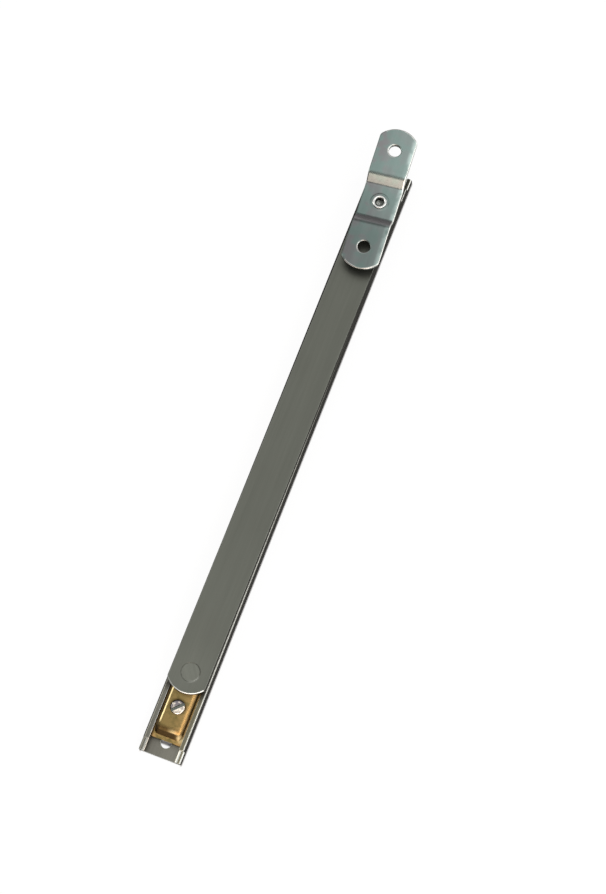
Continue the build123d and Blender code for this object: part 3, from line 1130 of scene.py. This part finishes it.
class STAY_OT_bracket_rivet(bpy.types.Operator):
    """Rolls the hollow rivet over on top of the bracket"""

    bl_idname = "stay.bracket_rivet"
    bl_label = "Bracket Rivet"

    def execute(self, context):
        s, c = stay(context)
        seat = s.bracket_base + s.bracket_thickness - s.seat_depth
        floor = seat + s.roll_height - s.roll_depth
        bore = s.roll_bore / 2
        outer = s.roll_diameter / 2
        shank = s.roll_shank / 2
        head = s.roll_head / 2
        head_top = s.arm_base - PLAY
        head_base = head_top - s.roll_head_thickness
        middle = (bore + outer) / 2
        swell = (outer - bore) / 2
        edge = 0.0004
        drill_point = math.radians(30)
        profile = [(0, floor - bore * math.tan(drill_point)), (bore, floor), (bore, seat)]
        steps = 12
        for step in range(1, steps):
            angle = math.pi - math.pi * step / steps
            height = s.roll_height * math.sin(angle)
            profile.append((middle + swell * math.cos(angle), seat + height))
        profile += [
            (outer, seat), (shank, seat), (shank, head_top), (head, head_top),
            (head, head_base + edge), (head - edge, head_base), (0, head_base),
        ]
        piece = lathe("rolled_rivet", profile, far_pivot(s))
        material = self.finish(s, c, seat, floor)
        finish_piece(piece, "bracket", "bracket_rivet", material)
        return {"FINISHED"}

    def finish(self, s, c, seat, floor):
        """Bright steel with faint setting marks, painted shade down its bore, a grey-green floor
        and a painted glint on it.
        """
        material, shader, place = metal("Rolled Rivet Steel", 0.25)
        bloom = effect(plating_bloom, place, {"Size": 5.0})
        z = parts(place)["Z"]
        bright = spread(bloom["Clouds"], 0.35, 0.65)
        # painted shade down the bore, a dull grey-green floor, and a painted glint on the floor
        recess_shade = spread(z, seat + 0.0003, seat - 0.0008)
        bottom = spread(z, floor + 0.0003, floor)
        centre = far_pivot(s)
        spot = (centre[0] - 0.0008, centre[1] + 0.0004, floor - 0.0006)
        painted_glint = spread(from_spot(place, spot), 0.001, 0.0004)
        darker = [v * 0.85 for v in c.rivet]
        base = coat(
            darker, (bright, c.rivet), (recess_shade, c.grime), (bottom, c.slot), (painted_glint, c.burnished),
        )
        feed(shader, {
            "Base Color": base,
            "Metallic": outside_of(either(painted_glint, times(bottom, 0.8))),
            "Roughness": varied(bloom["Clouds"], 0.2, 0.32),
        })
        return material


class STAY_OT_nylon(bpy.types.Operator):
    """Gives the washers and the pad their nylon"""

    bl_idname = "stay.nylon"
    bl_label = "Washers and Pad"

    def execute(self, context):
        _, c = stay(context)
        material, shader, place = metal("Moulded Nylon", 0.55, metallic=0.0)
        specks = effect(plating_bloom, place)["Specks"]
        feed(shader, {
            "Base Color": coat([v * 0.85 for v in c.nylon], (varied(specks), c.nylon)),
            "Normal": bumped(specks, 0.2, 0.00005),
        })
        for name in ("friction_pad", "slider_washer", "bracket_washer"):
            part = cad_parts[name]
            part.data.materials.clear()
            part.data.materials.append(material)
        return {"FINISHED"}


class STAY_OT_stage(bpy.types.Operator):
    """Lays the pale floor and sets the lamps, the world and the camera"""

    bl_idname = "stay.stage"
    bl_label = "Stage"

    def execute(self, context):
        self.lay_floor(context)
        self.light(context)
        self.aim(context)
        context.scene.view_settings.view_transform = "Standard"
        return {"FINISHED"}

    def lay_floor(self, context):
        """A white floor with shade at the track's foot, partly painted, and a painted shadow in the
        near screw hole; it is clear from below.
        """
        clear_selection()
        bpy.ops.mesh.primitive_plane_add(size=30, location=(0, 0, -0.0001))
        floor = context.object
        floor.name = "pale_floor"
        apply_place()
        material = bpy.data.materials.new("Pale Floor")
        tree = bare_tree(material)
        s, _ = stay(context)
        path = node(tree, "ShaderNodeLightPath").outputs
        seen = maths("ADD", path["Is Camera Ray"], path["Is Glossy Ray"])
        seen = maths("ADD", seen, path["Is Transmission Ray"], clamp=True)
        x, y, _ = parts(node(tree, "ShaderNodeTexCoord").outputs["Object"])
        across = unsigned(x)
        away = unsigned(maths("SUBTRACT", across, s.track_width / 2 - 0.0002))
        end = s.track_length / 2
        beyond = spread(unsigned(y), end, end + 0.001)
        open_floor = either(spread(away, 0.0002, 0.0006, 0.1, 1.0), beyond)
        # painted shadow: what shows through the near screw hole is painted dark where the shoe's
        # foot stands over it
        foot = unsigned(maths("SUBTRACT", y, s.shoe_front + 0.003))
        hole = times(maths("LESS_THAN", across, 0.004), spread(foot, 0.0046, 0.0038))
        under = times(hole, path["Is Camera Ray"])
        open_floor = maths("MINIMUM", open_floor, outside_of(under))
        # and the track's foot stands in a thin line of painted shade
        line = times(spread(away, 0.0002, 0.0005, 0.8, 0.0), outside_of(beyond))
        paint = coat((0.9, 0.9, 0.9), (either(under, line), (0.25, 0.25, 0.26)))
        matt = node(tree, "ShaderNodeBsdfDiffuse", {"Color": paint})
        glow = node(tree, "ShaderNodeEmission", {"Color": (1, 1, 1, 1), "Strength": 1.0})
        below = node(tree, "ShaderNodeNewGeometry").outputs["Backfacing"]
        clear = node(tree, "ShaderNodeBsdfTransparent")
        shown = matt
        for share, upper in ((times(seen, times(open_floor, 0.93)), glow), (below, clear)):
            inputs = {0: share, 1: shown.outputs[0], 2: upper.outputs[0]}
            shown = node(tree, "ShaderNodeMixShader", inputs)
        node(tree, "ShaderNodeOutputMaterial", {"Surface": shown.outputs[0]})
        floor.data.materials.append(material)

    def light(self, context):
        """A white backdrop and five soft lamps."""
        world = bpy.data.worlds.new("Soft Studio")
        context.scene.world = world
        tree = bare_tree(world)
        # the camera sees the backdrop all round, and metal mirrors it near the horizon
        path = node(tree, "ShaderNodeLightPath").outputs
        height = parts(node(tree, "ShaderNodeTexCoord").outputs["Object"])["Z"]
        mirrored = maths("ADD", path["Is Glossy Ray"], path["Is Transmission Ray"])
        mirrored = times(mirrored, spread(height, 0.25, 0.1))
        seen = maths("ADD", mirrored, path["Is Camera Ray"], clamp=True)
        white = coat((0.5, 0.5, 0.5), (seen, (1, 1, 1)))
        sky = node(tree, "ShaderNodeBackground", {"Color": white})
        node(tree, "ShaderNodeOutputWorld", {"Surface": sky.outputs[0]})
        # each lamp: its place, width, height, radiance and colour
        for name, place, wide, high, level, colour in (
            ("overhead_soft", (-0.15, 0.3, 1.35), 1.6, 1.6, 1.0, (1.0, 1.0, 1.0)),
            ("front_low", (0.3, -1.2, 0.48), 1.4, 0.85, 3.6, (1.0, 0.84, 0.75)),
            ("right_low", (1.15, 0.54, 0.35), 1.9, 0.6, 2.0, (1.0, 1.0, 1.0)),
            ("right_high", (0.76, -0.25, 1.05), 1.6, 0.3, 4.5, (1.0, 0.99, 0.96)),
            ("left_low", (-1.25, -0.05, 0.45), 0.7, 0.6, 4.0, (1.0, 0.99, 0.93)),
        ):
            lamp = bpy.data.lights.new(name, "AREA")
            lamp.shape = "RECTANGLE"
            lamp.size = wide
            lamp.size_y = high
            lamp.energy = level * math.pi * wide * high
            lamp.color = colour
            made = bpy.data.objects.new(name, lamp)
            made.location = place
            made.rotation_euler = (-Vector(place)).to_track_quat("-Z", "Y").to_euler()
            made.visible_camera = False
            context.scene.collection.objects.link(made)

    def aim(self, context):
        """The camera, at the photograph's viewing angle."""
        lens = bpy.data.cameras.new("photo_view")
        lens.sensor_width = 36
        lens.lens = 81.085
        camera = bpy.data.objects.new("photo_view", lens)
        place = Vector((0.132885, -0.204985, 0.844729))
        target = Vector((0.007456, 0.007518, 0))
        roll = math.radians(21.02)
        ahead = (target - place).normalized()
        right = ahead.cross(Vector((-math.sin(roll), math.cos(roll), 0))).normalized()
        up = right.cross(ahead)
        camera.location = place
        camera.rotation_euler = Matrix((right, up, -ahead)).transposed().to_euler()
        context.scene.collection.objects.link(camera)
        context.scene.camera = camera


class STAY_PT_panel(bpy.types.Panel):
    """Lists the stay's pieces, sizes and colours"""

    bl_idname = "STAY_PT_panel"
    bl_label = "Friction Stay"
    bl_space_type = "VIEW_3D"
    bl_region_type = "UI"
    bl_category = "Stay"

    def draw(self, context):
        for made in OPERATORS:
            self.layout.operator(made.bl_idname)
        for group in (context.scene.stay_sizes, context.scene.stay_colours):
            column = self.layout.column(align=True)
            for name in group.bl_rna.properties.keys():
                if name not in ("rna_type", "name"):
                    column.prop(group, name)


OPERATORS = (
    STAY_OT_track, STAY_OT_shoe, STAY_OT_screw, STAY_OT_arm, STAY_OT_slider_rivet, STAY_OT_bracket,
    STAY_OT_bracket_rivet, STAY_OT_nylon, STAY_OT_stage,
)
CLASSES = (StaySizes, StayColours, *OPERATORS, STAY_PT_panel)


def register():
    for made in CLASSES:
        bpy.utils.register_class(made)
    bpy.types.Scene.stay_sizes = bpy.props.PointerProperty(type=StaySizes)
    bpy.types.Scene.stay_colours = bpy.props.PointerProperty(type=StayColours)


def unregister():
    del bpy.types.Scene.stay_colours
    del bpy.types.Scene.stay_sizes
    for made in reversed(CLASSES):
        bpy.utils.unregister_class(made)


def main():
    register()
    bpy.ops.stay.track()
    bpy.ops.stay.shoe()
    bpy.ops.stay.screw()
    bpy.ops.stay.arm()
    bpy.ops.stay.slider_rivet()
    bpy.ops.stay.bracket()
    bpy.ops.stay.bracket_rivet()
    bpy.ops.stay.nylon()
    bpy.ops.stay.stage()


if __name__ == "__main__":
    main()
